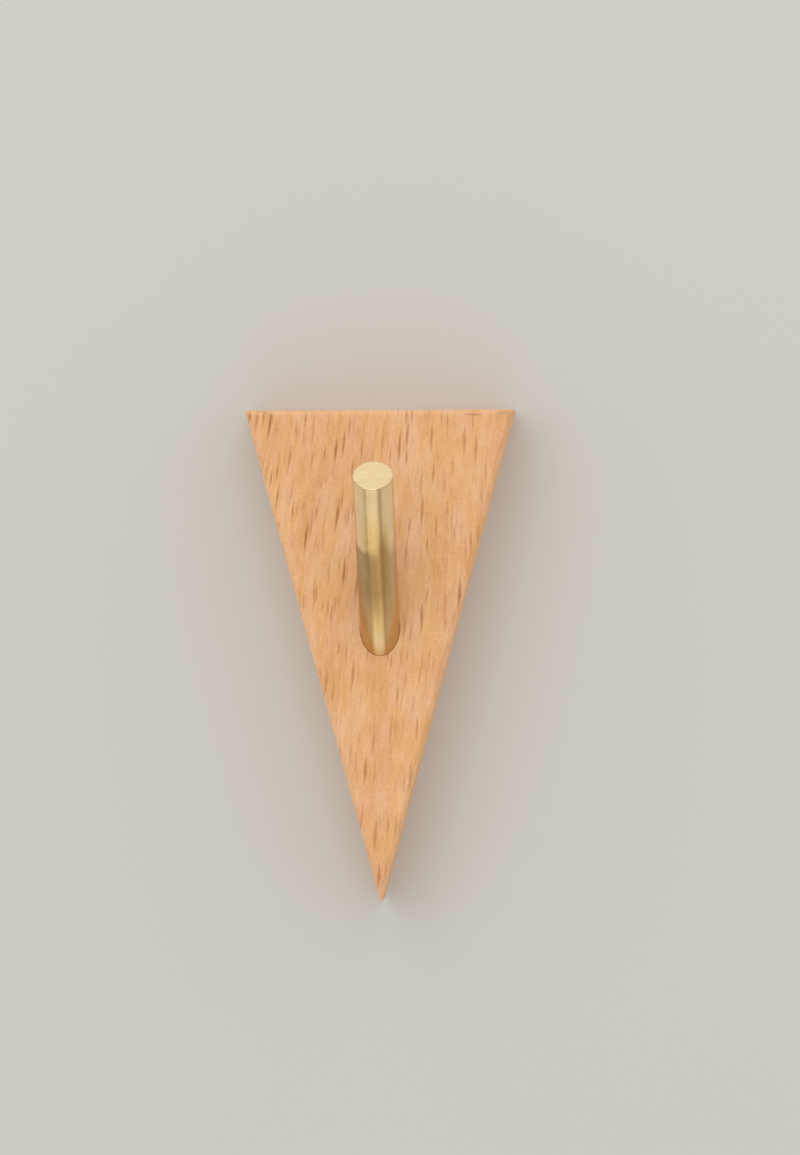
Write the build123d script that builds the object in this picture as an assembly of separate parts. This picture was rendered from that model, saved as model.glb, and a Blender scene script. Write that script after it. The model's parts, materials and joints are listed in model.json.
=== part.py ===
from build123d import *
from math import cos, radians, sin
import os

# A triangular beech wall hook, point down, with one brass peg that leans up and out of its face.
#
# Frame, in millimetres: +X to the right as seen from the room, +Y into the wall, +Z up.
# The back of the block lies on the wall plane, Y = 0. The origin is in the upper end of the
# keyhole slot, where the shank of the wall screw carries the hook.

# Beech block, measured between its sharp corners, before the edges are eased
BLOCK_WIDTH = 54.0
BLOCK_HEIGHT = 99.0
BLOCK_THICKNESS = 20.0
RIM_CHAMFER = 0.9  # around the front and around the back
EASED_EDGE = 0.1  # radius that sanding leaves on every edge

# Brass peg, a length of drawn rod
PEG_DIAMETER = 8.0
PEG_RISE = 45.0  # degrees above the horizontal
PEG_REACH = 42.8  # along its axis, from the face of the block to the free end
PEG_DROP = 43.6  # top of the block to the point where the axis leaves the face
PEG_TIP_BREAK = 0.25  # deburred rim of the free end
PEG_HEEL_BREAK = 0.5  # lead-in at the end that is glued into the block

# Blind socket for the peg
GLUE_GAP = 0.1  # all round the peg
SOCKET_COVER = 4.5  # wood left between the socket and the back of the block

# Keyhole slot in the back, cut by one pass of a keyhole cutter
KEYHOLE_DROP = 16.0  # top of the block to the upper end's centre
KEYHOLE_TRAVEL = 12.0  # upper end's centre down to the entry's centre
KEYHOLE_ENTRY = 9.5  # diameter that lets the screw's head in, and width of the channel for it
KEYHOLE_NECK = 5.0  # width of the slot for the screw's shank
KEYHOLE_LIP = 5.0  # wood that the screw's head bears on
KEYHOLE_HEAD_ROOM = 5.0  # depth of the channel behind the lip

# Values that follow from the sizes above
BLOCK_TOP = KEYHOLE_DROP
BLOCK_APEX = BLOCK_TOP - BLOCK_HEIGHT
SOCKET_RADIUS = PEG_DIAMETER / 2 + GLUE_GAP
RISE = radians(PEG_RISE)
SOCKET_DEPTH = (BLOCK_THICKNESS - SOCKET_COVER - SOCKET_RADIUS * sin(RISE)) / cos(RISE)

BACK = Plane.XZ  # faces the room, so that a positive extrusion goes into the block
PEG_PLANE = Plane(
    origin=(0, -BLOCK_THICKNESS, BLOCK_TOP - PEG_DROP),
    x_dir=(1, 0, 0),
    z_dir=(0, -cos(RISE), sin(RISE)),
)
SOCKET_FLOOR = PEG_PLANE.offset(-SOCKET_DEPTH)


def keyhole() -> Part:
    """The wood that the keyhole cutter takes out of the back of the block."""
    with BuildPart() as cut:
        with BuildSketch(BACK):
            with Locations((0, -KEYHOLE_TRAVEL)):
                Circle(KEYHOLE_ENTRY / 2)
        extrude(amount=KEYHOLE_LIP + KEYHOLE_HEAD_ROOM)
        with BuildSketch(BACK):
            with Locations((0, -KEYHOLE_TRAVEL / 2)):
                SlotCenterToCenter(KEYHOLE_TRAVEL, KEYHOLE_NECK, rotation=90)
        extrude(amount=KEYHOLE_LIP)
        with BuildSketch(BACK.offset(KEYHOLE_LIP)):
            with Locations((0, -KEYHOLE_TRAVEL / 2)):
                SlotCenterToCenter(KEYHOLE_TRAVEL, KEYHOLE_ENTRY, rotation=90)
        extrude(amount=KEYHOLE_HEAD_ROOM)
    return cut.part


def peg_socket() -> Part:
    """The slanted, flat-bottomed hole that the peg is glued into."""
    with BuildPart() as cut:
        with BuildSketch(SOCKET_FLOOR):
            Circle(SOCKET_RADIUS)
        extrude(amount=SOCKET_DEPTH + PEG_REACH)
    return cut.part


def beech_block() -> Part:
    """The triangular block, with chamfered rims, the peg's socket and the keyhole slot."""
    with BuildPart() as block:
        with BuildSketch(BACK):
            with BuildLine():
                Polyline(
                    (-BLOCK_WIDTH / 2, BLOCK_TOP),
                    (BLOCK_WIDTH / 2, BLOCK_TOP),
                    (0, BLOCK_APEX),
                    close=True,
                )
            make_face()
        extrude(amount=BLOCK_THICKNESS)
        chamfer(block.edges() - block.edges().filter_by(Axis.Y), RIM_CHAMFER)
        fillet(block.edges(), EASED_EDGE)
        add(peg_socket(), mode=Mode.SUBTRACT)
        add(keyhole(), mode=Mode.SUBTRACT)
    return block.part


def brass_peg() -> Part:
    """The rod, seated on the floor of its socket, with both ends deburred."""
    with BuildPart() as peg:
        with BuildSketch(SOCKET_FLOOR):
            Circle(PEG_DIAMETER / 2)
        extrude(amount=SOCKET_DEPTH + PEG_REACH)
        heel, *_, tip = peg.faces().sort_by(Axis(PEG_PLANE.origin, PEG_PLANE.z_dir))
        chamfer(tip.edges(), PEG_TIP_BREAK)
        chamfer(heel.edges(), PEG_HEEL_BREAK)
    return peg.part


os.makedirs("parts", exist_ok=True)
export_step(beech_block(), "parts/beech_block.step")
export_step(brass_peg(), "parts/brass_peg.step")
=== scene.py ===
"""Looks of a triangular beech wall hook with one slanted brass peg.

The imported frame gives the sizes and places, in metres: +X to the right as seen from the room, +Y into
the wall, +Z up. The block and the peg are modelled again over their solids, with the marks of use on
their edges, and get wood and metal that are worked out by nodes. The finishes count in millimetres.
"""

from __future__ import annotations

import json
import logging
import math
from collections.abc import Callable, Iterator
from contextlib import contextmanager
from dataclasses import dataclass
from enum import Enum

import bmesh
import bpy
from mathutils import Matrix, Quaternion, Vector

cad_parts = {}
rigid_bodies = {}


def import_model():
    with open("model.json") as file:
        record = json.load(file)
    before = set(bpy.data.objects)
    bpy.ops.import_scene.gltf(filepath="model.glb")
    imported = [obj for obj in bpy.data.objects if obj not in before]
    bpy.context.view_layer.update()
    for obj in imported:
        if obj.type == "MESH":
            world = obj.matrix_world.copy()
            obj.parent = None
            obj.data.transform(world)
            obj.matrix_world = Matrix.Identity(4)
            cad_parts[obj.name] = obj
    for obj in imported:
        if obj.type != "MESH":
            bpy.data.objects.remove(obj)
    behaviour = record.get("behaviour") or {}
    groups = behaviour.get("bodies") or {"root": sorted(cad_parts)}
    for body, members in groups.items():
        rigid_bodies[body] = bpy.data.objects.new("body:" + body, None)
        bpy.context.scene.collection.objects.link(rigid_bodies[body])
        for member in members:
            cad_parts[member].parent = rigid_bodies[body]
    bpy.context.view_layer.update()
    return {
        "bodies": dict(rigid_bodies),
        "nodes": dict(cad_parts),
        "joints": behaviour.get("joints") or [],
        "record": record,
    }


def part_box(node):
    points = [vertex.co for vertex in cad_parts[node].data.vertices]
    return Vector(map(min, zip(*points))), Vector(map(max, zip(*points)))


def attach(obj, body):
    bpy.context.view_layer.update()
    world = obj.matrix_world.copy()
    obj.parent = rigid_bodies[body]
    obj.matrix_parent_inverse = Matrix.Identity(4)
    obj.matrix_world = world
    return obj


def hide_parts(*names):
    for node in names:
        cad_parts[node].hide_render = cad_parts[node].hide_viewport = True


LOG = logging.getLogger("wall_hook")
MM = 0.001
TOUCH = 0.01 * MM

Span = tuple[float, float]
Triple = tuple[float, float, float]
Colour = Triple
Plane = tuple[Vector, Vector]
Socket = bpy.types.NodeSocket
Level = float | Socket
Tint = Colour | Socket


class Workbench:
    """Operators, each called on one object at a time."""

    crease: float = math.radians(35)

    @staticmethod
    def pick(piece: bpy.types.Object) -> None:
        """Makes one object the only selected one, and the active one.

        Args:
            piece: the object.
        """
        bpy.ops.object.select_all(action="DESELECT")
        piece.select_set(True)
        bpy.context.view_layer.objects.active = piece

    @staticmethod
    @contextmanager
    def editing(piece: bpy.types.Object) -> Iterator[None]:
        """Keeps an object in edit mode, with vertices as what is selected.

        Args:
            piece: the mesh object to edit.

        Returns:
            A context in which edit-mode operators act on the object.
        """
        Workbench.pick(piece)
        bpy.ops.object.mode_set(mode="EDIT")
        bpy.ops.mesh.select_mode(type="VERT")
        yield
        bpy.ops.object.mode_set(mode="OBJECT")

    @staticmethod
    def select(test: Callable[[Vector], bool]) -> None:
        """Selects the vertices that pass a test, and the edges between them, in edit mode.

        Args:
            test: takes a vertex's place.
        """
        bpy.ops.mesh.select_all(action="DESELECT")
        data = bpy.context.edit_object.data
        mesh = bmesh.from_edit_mesh(data)
        for vertex in mesh.verts:
            vertex.select_set(test(vertex.co))
        mesh.select_flush(True)
        bmesh.update_edit_mesh(data)

    @staticmethod
    def place(piece: bpy.types.Object) -> None:
        """Puts an object's place, turn and size into its mesh."""
        Workbench.pick(piece)
        bpy.ops.object.transform_apply(location=True, rotation=True, scale=True)

    @staticmethod
    def rod(name: str, radius: float, start: Vector, end: Vector, sides: int) -> bpy.types.Object:
        """Adds a straight round rod between two points.

        Args:
            name: the object's name.
            radius: the rod's radius.
            start: the centre of one end.
            end: the centre of the other end.
            sides: how many sides the round has.

        Returns:
            The rod, with its place in its mesh.
        """
        along = end - start
        bpy.ops.object.select_all(action="DESELECT")
        bpy.ops.mesh.primitive_cylinder_add(
            vertices=sides,
            radius=radius,
            depth=along.length,
            location=(start + end) / 2,
            rotation=along.to_track_quat("Z", "Y").to_euler(),
        )
        rod = bpy.context.active_object
        rod.name = name
        Workbench.place(rod)
        return rod

    @staticmethod
    def cut(piece: bpy.types.Object, cutter: bpy.types.Object, inside: bpy.types.Material) -> None:
        """Takes a cutter's shape out of a piece.

        Args:
            piece: the object that is cut.
            cutter: a closed mesh object, which is used up.
            inside: the material of the cut faces.
        """
        cutter.data.materials.append(inside)
        Workbench.pick(piece)
        bpy.ops.object.modifier_add(type="BOOLEAN")
        boolean = piece.modifiers[-1]
        boolean.operation = "DIFFERENCE"
        boolean.solver = "EXACT"
        boolean.material_mode = "TRANSFER"
        boolean.object = cutter
        bpy.ops.object.modifier_apply(modifier=boolean.name)
        bpy.data.objects.remove(cutter, do_unlink=True)

    @staticmethod
    def smooth(piece: bpy.types.Object) -> None:
        """Shades eased edges round and keeps the large faces flat.

        Args:
            piece: the finished mesh object.
        """
        Workbench.pick(piece)
        bpy.ops.object.shade_smooth_by_angle(angle=Workbench.crease)
        bpy.ops.object.modifier_add(type="WEIGHTED_NORMAL")
        weighted = piece.modifiers[-1]
        weighted.keep_sharp = True
        bpy.ops.object.modifier_apply(modifier=weighted.name)


@dataclass(frozen=True)
class Blots:
    """Soft noise: a blot's size along each axis, and how many and how strong its finer layers are."""

    size: Triple
    detail: float = 2.0
    rough: float = 0.5


class Graph:
    """Shader nodes, added and linked by short calls."""

    def __init__(self, tree: bpy.types.NodeTree) -> None:
        """Works on one node tree."""
        self.tree = tree

    def add(self, kind: str, inputs: dict[str | int, object], **settings: object) -> bpy.types.Node:
        """Adds a node.

        Args:
            kind: the node's type, without its ShaderNode prefix.
            inputs: a value or a socket to link for each input, by name or number.
            settings: the node's own properties.

        Returns:
            The node.
        """
        node = self.tree.nodes.new("ShaderNode" + kind)
        for name, value in settings.items():
            setattr(node, name, value)
        for key, value in inputs.items():
            self.feed(node.inputs[key], value)
        return node

    def feed(self, target: Socket, value: object) -> None:
        """Links a socket, or sets it to a plain value.

        Args:
            target: the input socket.
            value: an output socket or a plain value.
        """
        if isinstance(value, Socket):
            self.tree.links.new(value, target)
        else:
            target.default_value = value

    def math(self, operation: str, first: Level, *others: Level) -> Socket:
        """Does a sum on one level, on two, or on more from left to right.

        Args:
            operation: what a Math node does.
            first: the first level.
            others: the levels after it, if the operation takes any.

        Returns:
            The result.
        """
        if not others:
            return self.add("Math", {0: first}, operation=operation).outputs[0]
        for other in others:
            first = self.add("Math", {0: first, 1: other}, operation=operation).outputs[0]
        return first

    def apart(self, value: Socket, other: float) -> Socket:
        """Returns how far a value is from another."""
        return self.math("ABSOLUTE", self.math("SUBTRACT", value, other))

    def vector(self, operation: str, first: Triple | Socket, second: Triple | Socket) -> Socket:
        """Returns the vector that a Vector Math node makes of two."""
        return self.add("VectorMath", {0: first, 1: second}, operation=operation).outputs["Vector"]

    def dot(self, first: Triple | Socket, second: Triple | Socket) -> Socket:
        """Returns the dot product of two vectors."""
        return self.add("VectorMath", {0: first, 1: second}, operation="DOT_PRODUCT").outputs["Value"]

    def length(self, vector: Socket) -> Socket:
        """Returns the length of a vector."""
        return self.add("VectorMath", {0: vector}, operation="LENGTH").outputs["Value"]

    def combine(self, x: Level, y: Level, z: Level) -> Socket:
        """Returns a vector made of three levels."""
        return self.add("CombineXYZ", {0: x, 1: y, 2: z}).outputs[0]

    def split(self, vector: Socket) -> list[Socket]:
        """Returns the X, Y and Z of a vector."""
        return list(self.add("SeparateXYZ", {0: vector}).outputs)

    def ramp(self, value: Level, low: Level, high: Level, start: Level = 0.0, end: Level = 1.0) -> Socket:
        """Eases a value smoothly from one level to another.

        Args:
            value: what is mapped.
            low: the value that gives start.
            high: the value that gives end.
            start: the first level.
            end: the last level.

        Returns:
            The eased level.
        """
        inputs = {"Value": value, "From Min": low, "From Max": high, "To Min": start, "To Max": end}
        return self.add("MapRange", inputs, interpolation_type="SMOOTHSTEP").outputs["Result"]

    def noise(self, place: Socket, blots: Blots) -> Socket:
        """Soft noise whose size differs along each axis.

        Args:
            place: where the noise is read, in millimetres.
            blots: the sizes of the noise.

        Returns:
            A level around one half.
        """
        stretched = self.vector("DIVIDE", place, blots.size)
        inputs = {"Vector": stretched, "Scale": 1.0, "Detail": blots.detail, "Roughness": blots.rough}
        return self.add("TexNoise", inputs).outputs["Fac"]

    def swing(self, place: Socket, blots: Blots, amount: float, spread: float = 0.25) -> Socket:
        """Soft noise that swings as far below nought as above it.

        Args:
            place: where the noise is read, in millimetres.
            blots: the sizes of the noise.
            amount: how far it swings.
            spread: how far from one half the noise reaches that amount.

        Returns:
            A level around 0.
        """
        return self.ramp(self.noise(place, blots), 0.5 - spread, 0.5 + spread, -amount, amount)

    def sway(self, place: Socket, blots: Blots, width: float) -> Socket:
        """Returns soft noise around 0, times a width."""
        return self.math("MULTIPLY", self.math("SUBTRACT", self.noise(place, blots), 0.5), width)

    def between(self, share: Level, first: Level, second: Level) -> Socket:
        """Returns a level between two others."""
        return self.add("Mix", {0: share, 2: first, 3: second}, data_type="FLOAT").outputs[0]

    def mix(self, share: Level, first: Tint, second: Tint) -> Socket:
        """Mixes two colours.

        Args:
            share: how much of the second colour shows.
            first: a colour or a colour socket.
            second: a colour or a colour socket.

        Returns:
            The mixed colour.
        """
        node = self.add("Mix", {}, data_type="RGBA", blend_type="MIX")
        named = {socket.identifier: socket for socket in node.inputs}
        self.feed(named["Factor_Float"], share)
        for key, value in (("A_Color", first), ("B_Color", second)):
            self.feed(named[key], (*value, 1.0) if isinstance(value, tuple) else value)
        return next(out for out in node.outputs if out.identifier == "Result_Color")


class Surface(Graph):
    """The shader nodes of one material, around its Principled shader."""

    def __init__(self, name: str) -> None:
        """Starts a material.

        Args:
            name: the material's name.
        """
        self.material = bpy.data.materials.new(name)
        self.material.use_nodes = True
        super().__init__(self.material.node_tree)
        self.shader = self.tree.nodes["Principled BSDF"]

    def set(self, name: str, value: object) -> None:
        """Links or sets one of the shader's inputs."""
        self.feed(self.shader.inputs[name], value)

    def bump(self, strength: float, depth: float, height: Socket) -> None:
        """Raises the surface by a level, with its depth in metres."""
        raised = self.add("Bump", {"Strength": strength, "Distance": depth, "Height": height})
        self.set("Normal", raised.outputs["Normal"])

    def show(self, share: Socket, other: Socket) -> None:
        """Shows a share of another shader in place of the material's own."""
        mixed = self.add("MixShader", {0: share, 1: self.shader.outputs[0], 2: other})
        self.feed(self.tree.nodes["Material Output"].inputs["Surface"], mixed.outputs[0])

    def place(self, origin: Triple = (0.0, 0.0, 0.0)) -> Socket:
        """Returns a point's place from an origin in metres, itself in millimetres."""
        away = self.vector("SUBTRACT", self.add("TexCoord", {}).outputs["Object"], origin)
        return self.vector("MULTIPLY", away, (1 / MM, 1 / MM, 1 / MM))

    def normal(self) -> Socket:
        """Returns the way that a point of the surface faces."""
        return self.add("TexCoord", {}).outputs["Normal"]


@dataclass(frozen=True)
class FleckLayer:
    """One size of the brown spindles that wood rays leave on a sawn face."""

    across: float
    along: float
    thin: float
    thick: float
    kept: float
    strength: float


@dataclass(frozen=True)
class Bruise:
    """A dark mark in the wood, an ellipsoid by its centre and its radii."""

    centre: Triple
    radii: Triple
    share: float


@dataclass(frozen=True)
class Scratch:
    """A hairline along a quarter of a circle, from its right to its top."""

    centre: Triple
    radius: float
    width: float
    share: float


@dataclass(frozen=True)
class BeechFinish:
    """Sanded and oiled beech: its colours, and the sizes and strengths of its grain and wear, and of the
    painted highlight on its rims.
    """

    name: str
    pink: Colour = (0.77, 0.417, 0.221)
    ochre: Colour = (0.735, 0.388, 0.146)
    fleck: Colour = (0.37, 0.115, 0.01)
    end_grain: Colour = (0.7, 0.37, 0.175)
    # paler rim colour: rubbed wear, and a painted highlight on the top and left rims
    worn_and_lit_rim: Colour = (0.82, 0.5, 0.28)
    bruise: Colour = (0.22, 0.095, 0.045)
    tone: Blots = Blots((3.2, 3.5, 9.0), detail=4.0, rough=0.65)
    streak: Blots = Blots((0.9, 2.4, 4.2), detail=3.0, rough=0.6)
    fibre: Blots = Blots((0.34, 0.4, 0.62), rough=0.6)
    cloud: Blots = Blots((7.0, 9.0, 14.0), detail=1.0)
    pores: Blots = Blots((0.14, 0.14, 0.5), detail=1.0)
    wander: Blots = Blots((22.0, 18.0, 45.0), detail=1.0)
    ragged: Blots = Blots((0.9, 6.0, 2.6))
    patches: Blots = Blots((4.0, 3.5, 7.0), detail=1.0)
    ring_drift: Blots = Blots((30.0, 9.0, 60.0))
    rim_blots: Blots = Blots((2.2, 2.2, 2.8), detail=3.0)
    smear: Blots = Blots((0.5, 0.5, 0.3), detail=3.0)
    lean: float = math.radians(5.2)
    fan: float = 0.0017
    wander_width: float = 3.0
    ragged_width: float = 0.4
    fleck_skew: float = 0.12
    fleck_point: float = 1.4
    bold_height: float = -23.0
    ring_gap: float = 2.7
    ring_drift_width: float = 4.0
    ring_depth: Span = (0.1, 0.03)
    pith: Span = (9.0, 95.0)
    streak_depth: float = 0.075
    fibre_depth: float = 0.075
    cloud_depth: float = 0.05
    smear_depth: float = 0.45
    deepening: Triple = (0.7, 1.2, 2.0)
    end_strength: float = 0.8
    end_late: float = 0.3
    end_pores: float = 0.3
    end_rays: float = 0.5
    worn_and_lit_rim_share: float = 0.27
    worn_polish: float = 0.12
    roughness: Span = (0.48, 0.64)
    relief: float = 0.03 * MM
    relief_strength: float = 0.6
    fleck_relief: float = 0.6
    layers: tuple[FleckLayer, ...] = (
        FleckLayer(across=1.3, along=14.5, thin=0.16, thick=0.31, kept=0.84, strength=0.7),
        FleckLayer(across=0.75, along=8.5, thin=0.16, thick=0.34, kept=0.6, strength=0.34),
    )


class BeechWood(Surface):
    """The nodes of beech: tan fibres, brown ray flecks, faint rings and a browner end grain.

    raw is a point's place, straight the same along and across the grain, and wandering that with the
    fan and the gentle wander of real fibres. facing is 1 on the front and the back and 0 on the narrow
    sides. fibre is the finest noise, late how far a point is into its ring's late wood, and fleck how
    dark a ray fleck is there.
    """

    def __init__(self, look: BeechFinish) -> None:
        """Starts the material and lays the grain through it.

        Args:
            look: the finish.
        """
        super().__init__(look.name)
        self.look = look
        self.raw = self.place()
        inputs = {"Vector": self.raw, "Angle": -look.lean}
        self.straight = self.add("VectorRotate", inputs, rotation_type="Y_AXIS").outputs[0]
        x, _, z = self.split(self.straight)
        wander = self.sway(self.straight, look.wander, look.wander_width)
        shift = self.math("ADD", wander, self.math("MULTIPLY", x, z, look.fan))
        self.wandering = self.vector("ADD", self.straight, self.combine(shift, 0.0, 0.0))
        _, inward, _ = self.split(self.normal())
        self.facing = self.ramp(self.math("ABSOLUTE", inward), 0.1, 0.7)
        self.fibre = self.noise(self.wandering, look.fibre)
        self.late = self.late_wood()
        self.fleck = self.fleck_level()

    def late_wood(self) -> Socket:
        """Gives the darker late wood of each year's ring.

        Returns:
            How far a point is into late wood, from 0 to 1.
        """
        x, y, _ = self.split(self.wandering)
        pith_x, pith_y = self.look.pith
        flat = self.combine(self.math("SUBTRACT", x, pith_x), self.math("SUBTRACT", y, pith_y), 0.0)
        drift = self.noise(self.wandering, self.look.ring_drift)
        drift = self.math("MULTIPLY", drift, self.look.ring_drift_width)
        turns = self.math("DIVIDE", self.math("ADD", self.length(flat), drift), self.look.ring_gap)
        return self.ramp(self.math("FRACT", turns), 0.35, 1.0)

    def ray_flecks(self, layer: FleckLayer) -> Socket:
        """Scatters spindles along the grain, as the rays show on a face across them.

        Args:
            layer: the spindles' sizes.

        Returns:
            How dark a fleck is at each point, from 0 to 1.
        """
        x, y, z = self.split(self.wandering)
        ragged = self.sway(self.wandering, self.look.ragged, self.look.ragged_width)
        across = self.math("ADD", x, self.math("MULTIPLY", y, self.look.fleck_skew), ragged)
        across = self.math("DIVIDE", across, layer.across)
        cell = self.combine(across, self.math("DIVIDE", z, layer.along), 0.0)
        inputs = {"Vector": cell, "Scale": 1.0, "Exponent": self.look.fleck_point}
        spindles = self.add("TexVoronoi", inputs, voronoi_dimensions="2D", distance="MINKOWSKI").outputs
        chance = self.add("SeparateColor", {0: spindles["Color"]}).outputs
        reach = self.ramp(chance["Red"], 0.0, 1.0, layer.thin, layer.thick)
        shape = self.ramp(self.math("DIVIDE", spindles["Distance"], reach), 1.1, 0.25)
        share = self.ramp(x, -18.0, 18.0, layer.kept + 0.06, layer.kept - 0.06)
        kept = self.math("LESS_THAN", chance["Green"], share)
        depth = self.ramp(chance["Blue"], 0.0, 1.0, 0.5, 1.0)
        return self.math("MULTIPLY", shape, kept, depth, layer.strength)

    def fleck_level(self) -> Socket:
        """Gives all the flecks: in patches, bolder to the left and halfway down, fainter on the sides.

        Returns:
            How dark a fleck is at each point.
        """
        x, _, z = self.split(self.wandering)
        patches = self.ramp(self.noise(self.wandering, self.look.patches), 0.3, 0.6, 0.75, 1.05)
        leftward = self.ramp(x, -20.0, 18.0, 1.15, 0.85)
        halfway = self.ramp(self.apart(z, self.look.bold_height), 16.0, 6.0, 1.0, 1.2)
        faced = self.ramp(self.facing, 0.0, 1.0, 0.35, 1.0)
        strength = self.math("MULTIPLY", patches, leftward, halfway, faced)
        flecks = [self.ray_flecks(layer) for layer in self.look.layers]
        return self.math("MULTIPLY", self.math("MAXIMUM", *flecks), strength)

    def long_grain(self) -> Socket:
        """Gives the plain wood, shaded by its streaks, fibres, rings and clouds, and darker towards the
        foot, a painted shade of light that falls off downward.

        Returns:
            The colour.
        """
        look = self.look
        tone = self.ramp(self.noise(self.wandering, look.tone), 0.32, 0.68)
        streak = self.swing(self.wandering, look.streak, look.streak_depth)
        fibre = self.ramp(self.fibre, 0.25, 0.75, -look.fibre_depth, look.fibre_depth)
        late = self.math("MULTIPLY", self.late, self.ramp(self.facing, 0.0, 1.0, *look.ring_depth))
        cloud = self.swing(self.straight, look.cloud, look.cloud_depth, spread=0.2)
        shade = self.math("SUBTRACT", self.math("ADD", streak, 1.0, fibre), late)
        shade = self.math("ADD", shade, self.math("MULTIPLY", cloud, self.facing))
        _, _, height = self.split(self.raw)
        # painted shade: the wood is darkened towards the bottom, where the light falls off
        shade = self.math("MULTIPLY", shade, self.ramp(height, -80.0, -25.0, 0.95, 1.0))
        deepened = [self.math("POWER", shade, power) for power in look.deepening]
        return self.vector("MULTIPLY", self.mix(tone, look.ochre, look.pink), self.combine(*deepened))

    def end_grain(self) -> Socket:
        """Gives the wood of a face across the grain: dark rings and pores, and pale rays.

        Returns:
            The colour.
        """
        look = self.look
        colour = self.mix(self.math("MULTIPLY", self.late, look.end_late), look.end_grain, look.fleck)
        pores = self.ramp(self.noise(self.straight, look.pores), 0.5, 0.72, 0.0, look.end_pores)
        colour = self.mix(pores, colour, look.fleck)
        return self.mix(self.math("MULTIPLY", self.fleck, look.end_rays), colour, look.pink)

    def end_share(self) -> Socket:
        """Gives how squarely a face cuts across the grain, from 0 to 1."""
        grain = (math.sin(self.look.lean), 0.0, math.cos(self.look.lean))
        return self.ramp(self.math("ABSOLUTE", self.dot(self.normal(), grain)), 0.55, 0.95)

    def arris_share(self, rims: list[list[Plane]]) -> Socket:
        """Gives how near a point is to an outer edge, where the rims are made paler and smoother: rubbed
        wear, and a painted highlight.

        Args:
            rims: two groups of planes, each plane a point and an outward normal. An edge is where a
                plane of one group meets a plane of the other.

        Returns:
            A level from 0, away from the edges, to 1.
        """
        depths: list[Socket] = []
        for group in rims:
            inward = [
                self.math("SUBTRACT", point.dot(normal) / MM, self.dot(self.raw, tuple(normal)))
                for point, normal in group
            ]
            depths.append(self.math("MINIMUM", *inward))
        away = self.length(self.combine(*depths, 0.0))
        uneven = self.ramp(self.noise(self.raw, self.look.rim_blots), 0.3, 0.7, -0.3, 0.5)
        return self.ramp(self.math("ADD", away, uneven), 1.3, 0.7)

    def bruised(self, colour: Socket, bruise: Bruise) -> Socket:
        """Darkens the wood around a bruised spot.

        Args:
            colour: the clean wood.
            bruise: the mark.

        Returns:
            The marked colour.
        """
        away = self.vector("SUBTRACT", self.raw, bruise.centre)
        away = self.length(self.vector("DIVIDE", away, bruise.radii))
        blur = self.swing(self.raw, self.look.smear, self.look.smear_depth)
        level = self.ramp(self.math("ADD", away, blur), 1.2, 0.3, 0.0, bruise.share)
        return self.mix(level, colour, self.look.bruise)

    def scratched(self, colour: Socket, scratch: Scratch) -> Socket:
        """Draws a hairline scratch.

        Args:
            colour: the clean wood.
            scratch: the hairline.

        Returns:
            The marked colour.
        """
        away = self.vector("SUBTRACT", self.raw, scratch.centre)
        x, _, z = self.split(away)
        across = self.apart(self.length(away), scratch.radius)
        level = self.ramp(across, scratch.width, 0.0, 0.0, scratch.share)
        quarter = [self.ramp(part, -0.2, 0.3) for part in (x, z)]
        return self.mix(self.math("MULTIPLY", level, *quarter), colour, self.look.bruise)

    def make(
        self,
        rims: list[list[Plane]],
        bruises: tuple[Bruise, ...] = (),
        scratches: tuple[Scratch, ...] = (),
    ) -> bpy.types.Material:
        """Makes the wood.

        Args:
            rims: the planes of the block's faces, as arris_share takes them.
            bruises: the dark marks.
            scratches: the hairlines.

        Returns:
            The material.
        """
        look = self.look
        colour = self.mix(self.fleck, self.long_grain(), look.fleck)
        end = self.math("MULTIPLY", self.end_share(), look.end_strength)
        colour = self.mix(end, colour, self.end_grain())
        arris = self.arris_share(rims)
        # painted highlight, with rubbed wear: the top and left rims are mixed paler, as if lit from the
        # upper left
        colour = self.mix(self.math("MULTIPLY", arris, look.worn_and_lit_rim_share), colour, look.worn_and_lit_rim)
        for bruise in bruises:
            colour = self.bruised(colour, bruise)
        for scratch in scratches:
            colour = self.scratched(colour, scratch)
        self.set("Base Color", colour)
        rough = self.ramp(self.fibre, 0.25, 0.75, *look.roughness)
        polish = self.math("MULTIPLY", arris, look.worn_polish)
        self.set("Roughness", self.math("SUBTRACT", rough, polish))
        sunk = self.math("MULTIPLY", self.fleck, look.fleck_relief)
        self.bump(look.relief_strength, look.relief, self.math("SUBTRACT", self.fibre, sunk))
        return self.material


@dataclass(frozen=True)
class DarkReflectionBand:
    """A dark band along the rod, a painted reflection beside its bright middle: its place to the right
    and its half width.
    """

    side: float
    width: float
    share: float


@dataclass(frozen=True)
class ReflectionStrip:
    """A browner strip along the rod, a painted reflection: its place to the right, its half width and
    where it ends.
    """

    side: float
    width: float
    start: float
    end: float
    share: float


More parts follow.
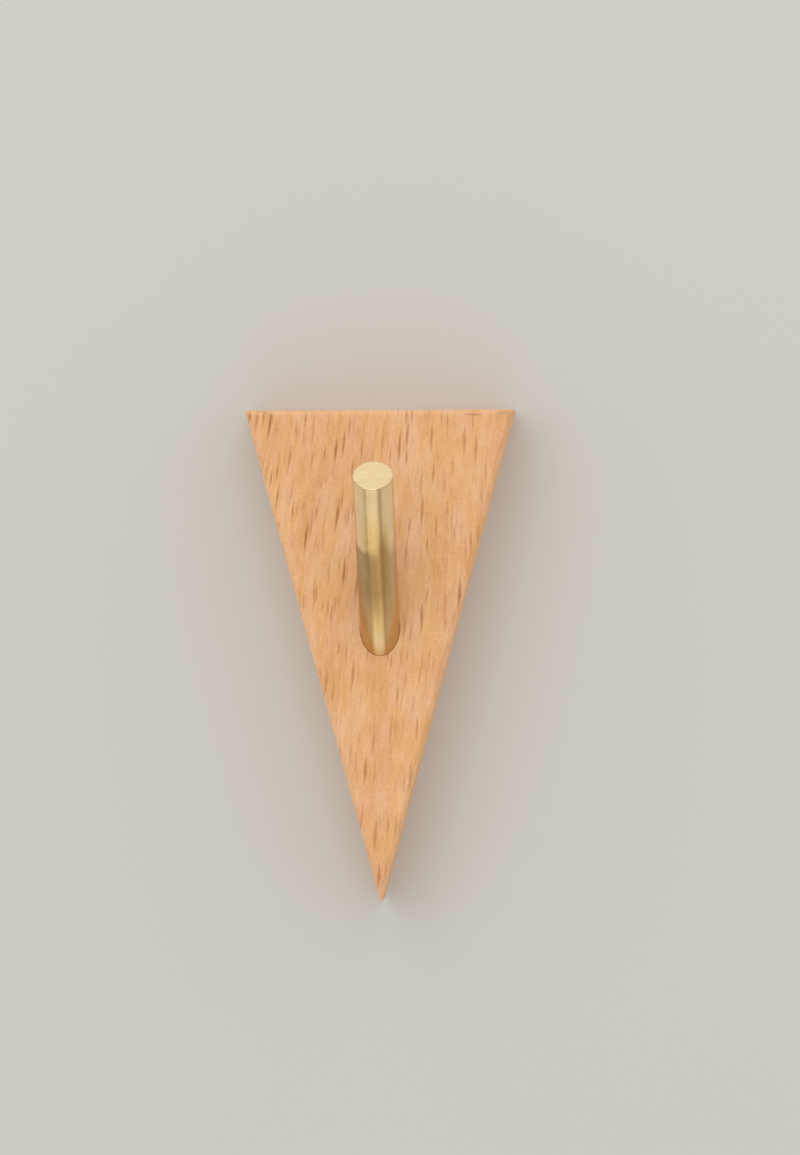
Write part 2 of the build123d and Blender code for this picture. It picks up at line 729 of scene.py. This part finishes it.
@dataclass(frozen=True)
class BrassFinish:
    """Drawn brass rod: its colours, and the sizes and strengths of its lines, its dulled and worn metal,
    and the reflections and shade painted along it.
    """

    name: str = "drawn_brass"
    bright: Colour = (0.93, 0.64, 0.27)
    # paler end colour, used at the tip and at the root; at the tip a painted reflection of the brighter
    # room
    pale_end: Colour = (0.98, 0.73, 0.4)
    # paler flank colour: a painted reflection of the pale room
    pale: Colour = (0.94, 0.695, 0.385)
    cut: Colour = (0.93, 0.765, 0.45)
    dull: Colour = (0.42, 0.222, 0.072)
    # left side of the darker stretch: dulled metal, and a painted reflection of the shade
    grime_and_reflection: Colour = (0.4, 0.265, 0.118)
    # painted reflection of the wood near the root
    mirrored_wood_tint: Colour = (0.69, 0.4, 0.16)
    # flank colours: a painted reflection of the block in the rod's sides
    flank: Colour = (0.67, 0.51, 0.26)
    edge: Colour = (0.8, 0.62, 0.36)
    dull_edge: Colour = (0.5, 0.34, 0.18)
    lines: Blots = Blots((0.2, 0.2, 24.0), detail=3.0, rough=0.6)
    mottle: Blots = Blots((1.6, 1.6, 2.6), detail=4.0, rough=0.6)
    saw: Blots = Blots((7.0, 0.16, 4.0))
    uneven: Blots = Blots((2.6, 2.6, 5.0))
    uneven_length: float = 0.6
    dull_from: float = 5.0
    dull_to: float = 24.8
    dull_share: float = 0.9
    mirrored_wood_tint_share: float = 0.85
    roughness: Span = (0.13, 0.2)
    dull_roughness: float = 0.08
    flank_roughness: float = 0.12
    cut_roughness: float = 0.36
    relief: float = 0.003 * MM
    relief_strength: float = 0.5
    # painted reflections: dark bands beside the bright middle
    dark_reflection_bands: tuple[DarkReflectionBand, ...] = (
        DarkReflectionBand(side=1.2, width=0.85, share=0.34),
        DarkReflectionBand(side=-1.65, width=0.6, share=0.2),
    )
    # painted reflections: browner strips along the rod
    strips: tuple[ReflectionStrip, ...] = (
        ReflectionStrip(side=2.0, width=1.3, start=6.5, end=30.0, share=0.36),
        ReflectionStrip(side=-2.9, width=1.3, start=3.0, end=14.0, share=0.4),
    )


class BrassMetal(Surface):
    """The nodes of drawn brass: fine lines along it, a dull stretch near the wood, reflections painted
    along its sides and a bright sawn end.

    side is how far a point is to the right, away how far to either side, along how far out along the
    axis, and spot its place on the rod as one vector. lines and mottle are the noise of the drawing die
    and of handling. dull and flank say how far the metal dulled by handling and the painted reflection
    of the block and its shade reach there.
    """

    def __init__(self, look: BrassFinish, root: Vector, axis: Vector) -> None:
        """Starts the material and lays the rod's own directions through it.

        Args:
            look: the finish.
            root: where the peg's axis leaves the block.
            axis: the peg's direction, out of the block.
        """
        super().__init__(look.name)
        self.look = look
        self.axis = axis
        from_root = self.place(tuple(root))
        right = Vector((1.0, 0.0, 0.0))
        ways = (right, axis, axis.cross(right))
        self.side, self.along, up = (self.dot(from_root, tuple(way)) for way in ways)
        self.away = self.math("ABSOLUTE", self.side)
        self.spot = self.combine(self.side, up, self.along)
        self.lines = self.noise(self.spot, look.lines)
        self.mottle = self.noise(self.spot, look.mottle)
        self.dull = self.dullness()
        self.flank = self.flank_share()

    def dullness(self) -> Socket:
        """Gives the darker stretch near the wood, most of all on the left: metal dulled by handling, and
        a painted reflection of the block and its shade.

        Its upper end is firm on the left, softer to the right and softest in the middle.

        Returns:
            A level from 0, bright, to 1.
        """
        look = self.look
        uneven = self.swing(self.spot, look.uneven, look.uneven_length)
        band = self.ramp(self.apart(self.side, 1.5), 1.2, 0.5, 0.0, 3.0)
        station = self.math("SUBTRACT", self.math("ADD", self.along, uneven), band)
        soft = self.ramp(station, look.dull_to + 2.6, look.dull_to - 2.6)
        blur = self.ramp(self.side, -0.5, 1.5, 1.0, 3.0)
        above = self.math("DIVIDE", self.math("SUBTRACT", station, look.dull_to), blur)
        middle = self.ramp(self.apart(self.side, -0.2), 1.5, 0.6)
        upper = self.between(middle, self.ramp(above, 1.0, -1.0), soft)
        lower = self.ramp(station, look.dull_from - 2.5, look.dull_from + 8.5, 0.06, 1.0)
        leftward = self.ramp(self.side, -2.0, 3.6, 1.0, 0.6)
        return self.math("MULTIPLY", upper, lower, leftward)

    def flank_share(self) -> Socket:
        """Gives the darker flanks, which close in on the middle towards the wood: a painted reflection of
        the block's sides, with metal dulled by handling.

        Returns:
            A level from 0, clean, to 1.
        """
        clean = self.ramp(self.along, -4.0, 30.0, 1.0, 3.75)
        beyond = self.math("SUBTRACT", self.away, clean)
        return self.ramp(beyond, -0.2, self.ramp(self.along, 6.0, 26.0, 1.2, 0.25))

    def reflection_strip_share(self, strip: ReflectionStrip) -> Socket:
        """Gives one browner strip, a painted reflection, with soft sides and ends.

        Args:
            strip: the strip.

        Returns:
            A level from 0 to the strip's share.
        """
        across = self.apart(self.side, strip.side)
        level = self.ramp(across, strip.width, 0.3 * strip.width, 0.0, strip.share)
        lower = self.ramp(self.along, strip.start - 2.5, strip.start + 2.5)
        upper = self.ramp(self.along, strip.end + 5.0, strip.end - 5.0)
        return self.math("MULTIPLY", level, lower, upper)

    def clean_colour(self) -> Socket:
        """Gives the clean metal with painted reflections: paler flanks, paler ends, and dark bands beside
        the bright middle.

        Returns:
            The colour.
        """
        look = self.look
        # painted reflection: paler towards the tip, where the brighter room mirrors, and paler at the
        # root
        ends = self.math("MAXIMUM", self.ramp(self.along, 27.0, 38.0), self.ramp(self.along, 6.0, -1.0))
        colour = self.mix(ends, look.bright, look.pale_end)
        # painted reflection: the flanks made paler, as the pale room mirrors there
        colour = self.mix(self.ramp(self.away, 1.4, 3.2), colour, look.pale)
        # painted reflection: dark bands beside the bright middle of the rod
        for line in look.dark_reflection_bands:
            across = self.apart(self.side, line.side)
            colour = self.mix(self.ramp(across, line.width, 0.1, 0.0, line.share), colour, look.dull)
        return colour

    def shank_colour(self) -> Socket:
        """Gives the rod's round wall: clean metal, dulled near the wood and darkened there by painted
        reflections of the block and its shade, with browner, painted flanks.

        Returns:
            The colour.
        """
        look = self.look
        # painted reflection and shade, with dulled metal: the colour of the darker stretch near the wood
        tarnish_and_reflection = self.mix(self.ramp(self.side, 1.0, -2.5), look.dull, look.grime_and_reflection)
        tarnish_and_reflection = self.mix(self.ramp(self.mottle, 0.35, 0.7, 0.0, 0.2), tarnish_and_reflection, look.bright)
        colour = self.mix(self.ramp(self.mottle, 0.4, 0.75, 0.0, 0.16), self.clean_colour(), look.dull)
        colour = self.mix(self.math("MULTIPLY", self.dull, look.dull_share), colour, tarnish_and_reflection)
        colour = self.mix(self.ramp(self.lines, 0.35, 0.7, 0.0, 0.14), colour, look.dull)
        # painted reflection: the sides near the root take the orange of the wood mirrored there
        near_root_reflection = self.math("MULTIPLY", self.ramp(self.along, 14.0, 4.0), self.ramp(self.away, 0.9, 1.6))
        colour = self.mix(self.math("MULTIPLY", near_root_reflection, look.mirrored_wood_tint_share), colour, look.mirrored_wood_tint)
        # painted reflection: the flanks take the mirrored colour of the block, narrowing towards the wood
        outer = self.mix(self.dull, look.edge, look.dull_edge)
        outer = self.mix(self.ramp(self.along, 8.0, 16.0), look.flank, outer)
        colour = self.mix(self.flank, colour, outer)
        # painted reflection: browner strips along the sides of the rod
        for strip in look.strips:
            colour = self.mix(self.reflection_strip_share(strip), colour, look.dull)
        return colour

    def make(self) -> bpy.types.Material:
        """Makes the brass.

        Returns:
            The material.
        """
        look = self.look
        saw = self.noise(self.spot, look.saw)
        end = self.ramp(self.dot(self.normal(), tuple(self.axis)), 0.8, 0.97)
        faced = self.mix(self.ramp(self.mottle, 0.35, 0.7, 0.0, 0.5), look.cut, look.bright)
        faced = self.mix(self.ramp(saw, 0.4, 0.75, 0.0, 0.22), faced, look.dull)
        self.set("Base Color", self.mix(end, self.shank_colour(), faced))
        self.set("Metallic", 1.0)
        satin = self.ramp(self.lines, 0.3, 0.7, *look.roughness)
        satin = self.math("ADD", satin, self.math("MULTIPLY", self.dull, look.dull_roughness))
        satin = self.math("ADD", satin, self.math("MULTIPLY", self.flank, look.flank_roughness))
        self.set("Roughness", self.between(end, satin, look.cut_roughness))
        self.bump(look.relief_strength, look.relief, self.between(end, self.lines, saw))
        return self.material


def find_mount(frame: dict, name: str) -> dict:
    """Returns one of the record's mounts by its name."""
    return next(mount for mount in frame["record"]["mounts"] if mount["name"] == name)


@dataclass
class BrassPeg:
    """The rod peg: a cut length of drawn brass, glued into a slanted socket."""

    root: Vector
    axis: Vector
    radius: float
    reach: float
    depth: float
    tip_break: float = 0.2 * MM
    heel_break: float = 0.5 * MM
    break_facets: int = 3
    sides: int = 128
    finish: BrassFinish = BrassFinish()

    @classmethod
    def from_frame(cls, frame: dict, front: float) -> BrassPeg:
        """Reads the peg's line and ends from the frame.

        Args:
            front: the Y of the block's front face.

        Returns:
            The peg, with nothing built yet.
        """
        mount = find_mount(frame, "hanging_peg")
        axis = Vector(mount["axis"]).normalized()
        point = Vector(mount["pos_m"])
        root = point + axis * ((front - point.y) / axis.y)
        low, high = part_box("brass_peg")
        radius = (high.x - low.x) / 2
        mesh = frame["nodes"]["brass_peg"].data
        stations = [(vertex.co - root).dot(axis) for vertex in mesh.vertices]
        return cls(root, axis, radius, max(stations), -min(stations))

    @property
    def heel(self) -> Vector:
        """The centre of the glued end."""
        return self.root - self.axis * self.depth

    @property
    def tip(self) -> Vector:
        """The centre of the free end."""
        return self.root + self.axis * self.reach

    def deburr(self, end: Vector, amount: float) -> None:
        """Eases the rim of one end of the rod in edit mode.

        Args:
            end: the centre of that end.
            amount: how far back the rim is taken.
        """
        flat = self.axis.dot(end)
        Workbench.select(lambda place: abs(self.axis.dot(place) - flat) < TOUCH)
        bpy.ops.mesh.bevel(
            offset=amount, segments=self.break_facets, affect="EDGES", clamp_overlap=True
        )

    def build(self) -> bpy.types.Object:
        """Models the rod and deburrs both ends.

        Returns:
            The rod.
        """
        rod = Workbench.rod("drawn_brass_peg", self.radius, self.heel, self.tip, self.sides)
        with Workbench.editing(rod):
            self.deburr(self.tip, self.tip_break)
            self.deburr(self.heel, self.heel_break)
        Workbench.smooth(rod)
        return rod

    def dress(self, rod: bpy.types.Object) -> None:
        """Gives the rod its metal, and ties it to the frame.

        Args:
            rod: what build gives.
        """
        rod.data.materials.clear()
        rod.data.materials.append(BrassMetal(self.finish, self.root, self.axis).make())
        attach(rod, "root")
        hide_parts("brass_peg")


@dataclass(frozen=True)
class Keyhole:
    """The slot in the back: a round entry, and a neck and a wider channel that run up from it."""

    entry: Vector
    radius: float
    depth: float
    neck: float = 5.0 * MM
    lip: float = 5.0 * MM
    hair: float = 0.02 * MM
    spare: float = 1.0 * MM
    sides: int = 96

    @classmethod
    def from_frame(cls, frame: dict) -> Keyhole:
        """Reads the entry's place and size from the frame.


        Returns:
            The slot, with nothing cut yet.
        """
        mount = find_mount(frame, "keyhole_entry")
        sizes = mount["dims"]
        return cls(Vector(mount["pos_m"]), sizes["r_mm"] * MM, sizes["length_mm"] * MM)

    def cutter(self, radius: float, start: float, depth: float, travel: float) -> bpy.types.Object:
        """Makes a round-ended cutter that runs up from the entry.

        Args:
            radius: half the slot's width.
            start: where the slot begins, along Y.
            depth: how far it goes into the block.
            travel: how far it runs up from the entry's centre.

        Returns:
            The cutter.
        """
        near = Vector((self.entry.x, start, self.entry.z))
        cutter = Workbench.rod("cutter", radius, near, near - Vector((0.0, depth, 0.0)), self.sides)
        if travel:
            with Workbench.editing(cutter):
                Workbench.select(lambda place: place.z > self.entry.z + TOUCH)
                bpy.ops.transform.translate(value=(0.0, 0.0, travel))
        return cutter

    def rout(self, block: bpy.types.Object, wood: bpy.types.Material, back: float) -> None:
        """Routs the slot into a block: the entry, the neck, and the channel for the screw's head.

        Args:
            block: the block.
            wood: the wood of the cut faces.
            back: the Y of the block's back face.
        """
        travel = -self.entry.z
        passes = (
            (self.radius, back + self.spare, self.depth + self.spare, 0.0),
            (self.neck / 2, back + self.spare, self.lip + 2 * self.spare, travel),
            (self.radius - self.hair, back - self.lip, self.depth - self.lip - self.hair, travel),
        )
        for sizes in passes:
            Workbench.cut(block, self.cutter(*sizes), wood)


class Arris(Enum):
    """An edge of the block's front face."""

    LEFT = "left"
    RIGHT = "right"
    TOP = "top"


@dataclass(frozen=True)
class Nick:
    """A small chip out of an arris: where it is, how long and how deep.

    at is the distance below the top edge, or to the right of the middle on the top edge.
    """

    arris: Arris
    at: float
    length: float
    depth: float


@dataclass
class BeechBlock:
    """The triangular block: sawn from a board, eased, drilled, routed and nicked by use."""

    low: Vector
    high: Vector
    peg: BrassPeg
    keyhole: Keyhole
    top_width: float = 54.0 * MM
    height: float = 99.0 * MM
    rim_chamfer: float = 0.9 * MM
    corner_radius: float = 0.1 * MM
    rim_radius: float = 0.25 * MM
    facet: float = math.radians(15)
    saw_spare: float = 5.0 * MM
    saw_touch: float = 0.001 * MM
    glue_line: float = 0.06 * MM
    socket_sides: int = 96
    gouge_roundness: float = 2.2
    gouge_raggedness: float = 0.18
    oiled: BeechFinish = BeechFinish("oiled_beech")
    routed: BeechFinish = BeechFinish("routed_beech", roughness=(0.7, 0.85), relief=0.06 * MM)
    nicks: tuple[Nick, ...] = (
        Nick(Arris.LEFT, 10.0 * MM, 1.5 * MM, 0.22 * MM),
        Nick(Arris.LEFT, 23.4 * MM, 1.9 * MM, 0.26 * MM),
        Nick(Arris.LEFT, 33.1 * MM, 1.3 * MM, 0.2 * MM),
        Nick(Arris.LEFT, 53.1 * MM, 1.6 * MM, 0.22 * MM),
        Nick(Arris.LEFT, 58.8 * MM, 1.4 * MM, 0.24 * MM),
        Nick(Arris.LEFT, 80.5 * MM, 1.6 * MM, 0.24 * MM),
        Nick(Arris.RIGHT, 37.6 * MM, 1.4 * MM, 0.2 * MM),
        Nick(Arris.TOP, 19.3 * MM, 2.2 * MM, 0.22 * MM),
    )

    @property
    def side_planes(self) -> list[Plane]:
        """The top, right and left sides, clockwise from the front.

        Returns:
            A corner and the outward normal of each side.
        """
        half = self.top_width / 2
        slope = Vector((self.height, 0.0, -half)).normalized()
        left_top = Vector((-half, 0.0, self.high.z))
        right_top = Vector((half, 0.0, self.high.z))
        apex = Vector((0.0, 0.0, self.high.z - self.height))
        return [
            (left_top, Vector((0.0, 0.0, 1.0))),
            (right_top, slope),
            (apex, Vector((-slope.x, 0.0, slope.z))),
        ]

    @property
    def face_planes(self) -> list[Plane]:
        """A point and the outward normal of the front and back faces."""
        return [(self.low, Vector((0.0, -1.0, 0.0))), (self.high, Vector((0.0, 1.0, 0.0)))]

    def chamfer_plane(self, side: Plane, face: Plane) -> Plane:
        """Gives the plane that breaks the edge between a side and a face.

        Args:
            side: a point and the outward normal of the side.
            face: the same of the face.

        Returns:
            A point and the outward normal of the chamfer.
        """
        (corner, outward), (surface, forward) = side, face
        edge = Vector((corner.x, surface.y, corner.z))
        return edge - outward * self.rim_chamfer, (outward + forward).normalized()

    def woods(self) -> tuple[bpy.types.Material, bpy.types.Material]:
        """Makes the wood, with a stained line, a browner corner, a dark spot and a scratch at the top.

        The front and back rims of the top and left sides are paler and smoother: rubbed wear, and a
        painted highlight where light falls on them from the upper left.

        Returns:
            The wood of the sanded faces, with its marks, and that of the cuts.
        """
        front, top = self.low.y / MM, self.high.z / MM
        half = self.top_width / 2 / MM
        stains = (
            Bruise(centre=(19.0, front, top - 0.98), radii=(1.9, 0.9, 0.22), share=0.5),
            Bruise(centre=(half - 2.2, front + 0.25, top - 0.62), radii=(1.9, 0.9, 0.55), share=0.32),
            Bruise(centre=(1.15 - half, front, top - 1.3), radii=(0.55, 0.9, 0.45), share=0.25),
        )
        arc = Scratch(centre=(3.85 - half, front, top - 2.05), radius=1.6, width=0.24, share=0.32)
        top_side, _, left_side = self.side_planes
        # only the top and left rims, which face the light, get the paler painted highlight
        rims = [[top_side, left_side], self.face_planes]
        return BeechWood(self.oiled).make(rims, stains, (arc,)), BeechWood(self.routed).make(rims)

    def shave(self, point: Vector, normal: Vector) -> None:
        """Cuts off what lies beyond a plane, from the object in edit mode.

        Args:
            point: a point of the plane.
            normal: the plane's normal, towards what is cut off.
        """
        bpy.ops.mesh.select_all(action="SELECT")
        bpy.ops.mesh.bisect(
            plane_co=point, plane_no=normal, use_fill=True, clear_outer=True, threshold=self.saw_touch
        )

    def saw(self) -> bpy.types.Object:
        """Saws a board to a triangle, point down.

        Returns:
            The block, with sharp edges.
        """
        size = Vector((2 * self.top_width, self.high.y - self.low.y, self.height + self.saw_spare))
        centre = Vector((0.0, (self.low.y + self.high.y) / 2, self.high.z - size.z / 2))
        bpy.ops.object.select_all(action="DESELECT")
        bpy.ops.mesh.primitive_cube_add(size=1.0, location=centre, scale=size)
        board = bpy.context.active_object
        board.name = "worn_beech_block"
        Workbench.place(board)
        with Workbench.editing(board):
            for point, normal in self.side_planes[1:]:
                self.shave(point, normal)
        return board

    def sand_edge(self, first: Plane, second: Plane, radius: float) -> None:
        """Sands the edge between two planes round, facet by facet, on the object in edit mode.

        Args:
            first: a point and the outward normal of one plane.
            second: the same of the other plane.
            radius: the radius of the rounding.
        """
        (near, before), (far, after) = first, second
        share = before.dot(after)
        near_depth = near.dot(before) - radius
        far_depth = far.dot(after) - radius
        centre = before * (near_depth - share * far_depth) + after * (far_depth - share * near_depth)
        centre /= 1 - share**2
        facets = round(before.angle(after) / self.facet)
        for number in range(1, facets):
            normal = before.slerp(after, number / facets)
            self.shave(centre + normal * radius, normal)

    def ease(self, block: bpy.types.Object) -> None:
        """Chamfers the rims of both faces, then sands every edge round.

        Args:
            block: what saw gives.
        """
        sides = self.side_planes
        corners = list(zip(sides, sides[1:] + sides[:1]))
        rims: list[tuple[Plane, Plane]] = []
        with Workbench.editing(block):
            for face in self.face_planes:
                chamfers = [self.chamfer_plane(side, face) for side in sides]
                for chamfer in chamfers:
                    self.shave(*chamfer)
                corners += zip(chamfers, chamfers[1:] + chamfers[:1])
                rims += zip(sides, chamfers)
                rims += zip(chamfers, [face] * len(chamfers))
            for edges, radius in ((corners, self.corner_radius), (rims, self.rim_radius)):
                for first, second in edges:
                    self.sand_edge(first, second, radius)

    def drill(self, block: bpy.types.Object, wood: bpy.types.Material) -> None:
        """Drills the slanted socket that the peg is glued into.

        Args:
            block: the block.
            wood: the wood of the cut faces.
        """
        radius = self.peg.radius + self.glue_line
        bit = Workbench.rod("bit", radius, self.peg.heel, self.peg.tip, self.socket_sides)
        Workbench.cut(block, bit, wood)

    def arris_line(self, nick: Nick) -> tuple[Vector, Vector, Vector]:
        """Finds a nick's place.

        Args:
            nick: the nick.

        Returns:
            Its point on the sharp arris, the direction of the arris, and the way out of the block.
        """
        (_, top), (_, right), (_, left) = self.side_planes
        forward = Vector((0.0, -1.0, 0.0))
        if nick.arris is Arris.TOP:
            return Vector((nick.at, self.low.y, self.high.z)), Vector((1.0, 0.0, 0.0)), forward + top
        side, normal = (1, right) if nick.arris is Arris.RIGHT else (-1, left)
        half = self.top_width / 2 * (1 - nick.at / self.height)
        along = Vector((side * self.top_width / 2, 0.0, self.height)).normalized()
        return Vector((side * half, self.low.y, self.high.z - nick.at)), along, forward + normal

    def gouge(self, nick: Nick, seed: int) -> bpy.types.Object:
        """Makes the ragged ball that a nick is cut with.

        Args:
            nick: the nick.
            seed: what its raggedness is drawn from.

        Returns:
            The cutter.
        """
        point, along, way_out = self.arris_line(nick)
        radius = self.gouge_roundness * nick.depth
        eased = self.rim_chamfer / math.sqrt(2)
        bpy.ops.object.select_all(action="DESELECT")
        bpy.ops.mesh.primitive_ico_sphere_add(subdivisions=3, radius=1.0)
        gouge = bpy.context.active_object
        gouge.scale = (nick.length / 2, radius, radius)
        gouge.rotation_euler = along.to_track_quat("X", "Z").to_euler()
        gouge.location = point + way_out.normalized() * (radius - eased - nick.depth)
        Workbench.place(gouge)
        with Workbench.editing(gouge):
            bpy.ops.mesh.select_all(action="SELECT")
            ragged = self.gouge_raggedness * nick.depth
            bpy.ops.transform.vertex_random(offset=ragged, uniform=0.5, seed=seed)
        return gouge

    def chip(self, block: bpy.types.Object, wood: bpy.types.Material) -> None:
        """Chips the arrises with small ragged gouges."""
        for seed, nick in enumerate(self.nicks, start=1):
            Workbench.cut(block, self.gouge(nick, seed), wood)

    def build(self) -> bpy.types.Object:
        """Models the block, step by step as it is made and used.

        Returns:
            The block, with its wood.
        """
        sanded, cut = self.woods()
        block = self.saw()
        block.data.materials.append(sanded)
        self.ease(block)
        self.drill(block, cut)
        self.keyhole.rout(block, cut, self.high.y)
        self.chip(block, cut)
        Workbench.smooth(block)
        return block

    def dress(self, block: bpy.types.Object) -> None:
        """Ties the block to the frame.

        Args:
            block: what build gives.
        """
        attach(block, "root")
        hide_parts("beech_block")


@dataclass(frozen=True)
class Lamp:
    """A square soft lamp: its place from what it lights, the length of its sides and its watts."""

    name: str
    away: Triple
    size: float
    power: float

    def build(self, aim: Vector) -> None:
        """Hangs the lamp.

        Args:
            aim: the point that it lights.
        """
        data = bpy.data.lights.new(self.name, "AREA")
        data.shape = "SQUARE"
        data.size = self.size
        data.energy = self.power
        lamp = bpy.data.objects.new(self.name, data)
        lamp.location = aim + Vector(self.away)
        lamp.rotation_euler = (-Vector(self.away)).to_track_quat("-Z", "Y").to_euler()
        lamp.visible_camera = False
        bpy.context.scene.collection.objects.link(lamp)


@dataclass
class Studio:
    """A pale wall behind the hook, a pale floor below it, soft lamps and the even light of a room."""

    aim: Vector
    back: float
    wall_gap: float = 0.4 * MM
    wall_size: float = 0.5
    wall_colour: Colour = (0.66, 0.645, 0.615)
    wall_seen: Colour = (0.58, 0.567, 0.537)
    floor_size: float = 0.9
    floor_left: float = 0.1
    floor_drop: float = 1.0
    floor_colour: Colour = (0.86, 0.85, 0.82)
    matt: float = 0.9
    room_colour: Colour = (1.0, 0.985, 0.96)
    ambient: float = 0.81
    mirrored: float = 0.53
    seen: float = 0.8
    lamps: tuple[Lamp, ...] = (
        Lamp("key", away=(-0.25, -1.55, 0.65), size=1.6, power=9.0),
        Lamp("overhead", away=(0.0, -0.25, 1.1), size=1.2, power=2.0),
    )

    def sheet(self, name: str, size: float, place: Vector, facing: Vector) -> bpy.types.Object:
        """Adds a square sheet of the stage.

        Args:
            name: the object's name.
            size: the length of its sides.
            place: its centre.
            facing: the way that it faces.

        Returns:
            The sheet.
        """
        bpy.ops.object.select_all(action="DESELECT")
        turn = facing.to_track_quat("Z", "Y").to_euler()
        bpy.ops.mesh.primitive_plane_add(size=size, location=place, rotation=turn)
        sheet = bpy.context.active_object
        sheet.name = name
        Workbench.place(sheet)
        return sheet

    def hang_wall(self) -> None:
        """Hangs the wall, which can't be seen, and throws no shade, from behind."""
        place = Vector((self.aim.x, self.back + self.wall_gap, self.aim.z))
        sheet = self.sheet("wall", self.wall_size, place, Vector((0.0, -1.0, 0.0)))
        graph = Surface("wall_paint")
        path = graph.add("LightPath", {}).outputs
        graph.set("Base Color", graph.mix(path["Is Camera Ray"], self.wall_colour, self.wall_seen))
        graph.set("Roughness", self.matt)
        behind = graph.add("NewGeometry", {}).outputs["Backfacing"]
        passing = graph.math("MAXIMUM", path["Is Shadow Ray"], path["Is Diffuse Ray"])
        clear = graph.add("BsdfTransparent", {}).outputs[0]
        graph.show(graph.math("MAXIMUM", behind, passing), clear)
        sheet.data.materials.append(graph.material)

    def lay_floor(self) -> None:
        """Lays the floor, which is plain pale white to the eye and in the metal."""
        place = Vector((-self.floor_left, self.aim.y, -self.floor_drop))
        sheet = self.sheet("floor", self.floor_size, place, Vector((0.0, 0.0, 1.0)))
        graph = Surface("floor_paint")
        white = (*self.floor_colour, 1.0)
        graph.set("Base Color", white)
        graph.set("Roughness", self.matt)
        path = graph.add("LightPath", {}).outputs
        seen = graph.math("MAXIMUM", path["Is Camera Ray"], path["Is Glossy Ray"])
        plain = graph.add("Emission", {"Color": white, "Strength": 1.0}).outputs[0]
        graph.show(seen, plain)
        sheet.data.materials.append(graph.material)

    def light_room(self) -> None:
        """Sets the room's even light, which is weaker to the eye and in the metal."""
        world = bpy.data.worlds.new("room")
        world.use_nodes = True
        graph = Graph(world.node_tree)
        background = graph.tree.nodes["Background"]
        graph.feed(background.inputs["Color"], (*self.room_colour, 1.0))
        path = graph.add("LightPath", {}).outputs
        strength = graph.between(path["Is Glossy Ray"], self.ambient, self.mirrored)
        strength = graph.between(path["Is Camera Ray"], strength, self.seen)
        graph.feed(background.inputs["Strength"], strength)
        bpy.context.scene.world = world

    def build(self) -> None:
        """Sets the stage and its light, and shows colours plainly."""
        self.hang_wall()
        self.lay_floor()
        for lamp in self.lamps:
            lamp.build(self.aim)
        self.light_room()
        bpy.context.scene.view_settings.view_transform = "Standard"


@dataclass
class PhotoCamera:
    """The camera at the photograph's angle and frame, 800 by 1155 pixels."""

    front: float
    aim_x: float = 4.09 * MM
    aim_z: float = -17.62 * MM
    azimuth: float = math.radians(2.25)
    elevation: float = math.radians(0.4)
    roll: float = math.radians(0.217)
    distance: float = 1.5
    pixels_per_metre: float = 4987.0
    long_side: int = 1155
    sensor: float = 36.0
    clip: Span = (0.01, 20.0)

    @property
    def aim(self) -> Vector:
        """The point of the block's front plane in the middle of the frame."""
        return Vector((self.aim_x, self.front, self.aim_z))

    def build(self) -> None:
        """Places the camera and makes it the scene's own."""
        level = math.cos(self.elevation)
        back = Vector(
            (math.sin(self.azimuth) * level, -math.cos(self.azimuth) * level, math.sin(self.elevation))
        )
        data = bpy.data.cameras.new("photo_camera")
        data.sensor_width = self.sensor
        data.lens = self.pixels_per_metre * self.distance * self.sensor / self.long_side
        data.clip_start, data.clip_end = self.clip
        camera = bpy.data.objects.new("photo_camera", data)
        camera.location = self.aim + back * self.distance
        camera.rotation_mode = "QUATERNION"
        turn = Quaternion((0.0, 0.0, 1.0), -self.roll)
        camera.rotation_quaternion = (-back).to_track_quat("-Z", "Y") @ turn
        bpy.context.scene.collection.objects.link(camera)
        bpy.context.scene.camera = camera


def main() -> None:
    """Builds the hook over its frame, then the stage, the lamps and the camera."""
    logging.basicConfig(level=logging.INFO, format="%(name)s: %(message)s")
    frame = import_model()
    low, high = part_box("beech_block")
    peg = BrassPeg.from_frame(frame, low.y)
    block = BeechBlock(low, high, peg, Keyhole.from_frame(frame))
    for part in (block, peg):
        piece = part.build()
        part.dress(piece)
        LOG.info("%s: %d faces", piece.name, len(piece.data.polygons))
    camera = PhotoCamera(low.y)
    Studio(camera.aim, high.y).build()
    camera.build()


if __name__ == "__main__":
    main()
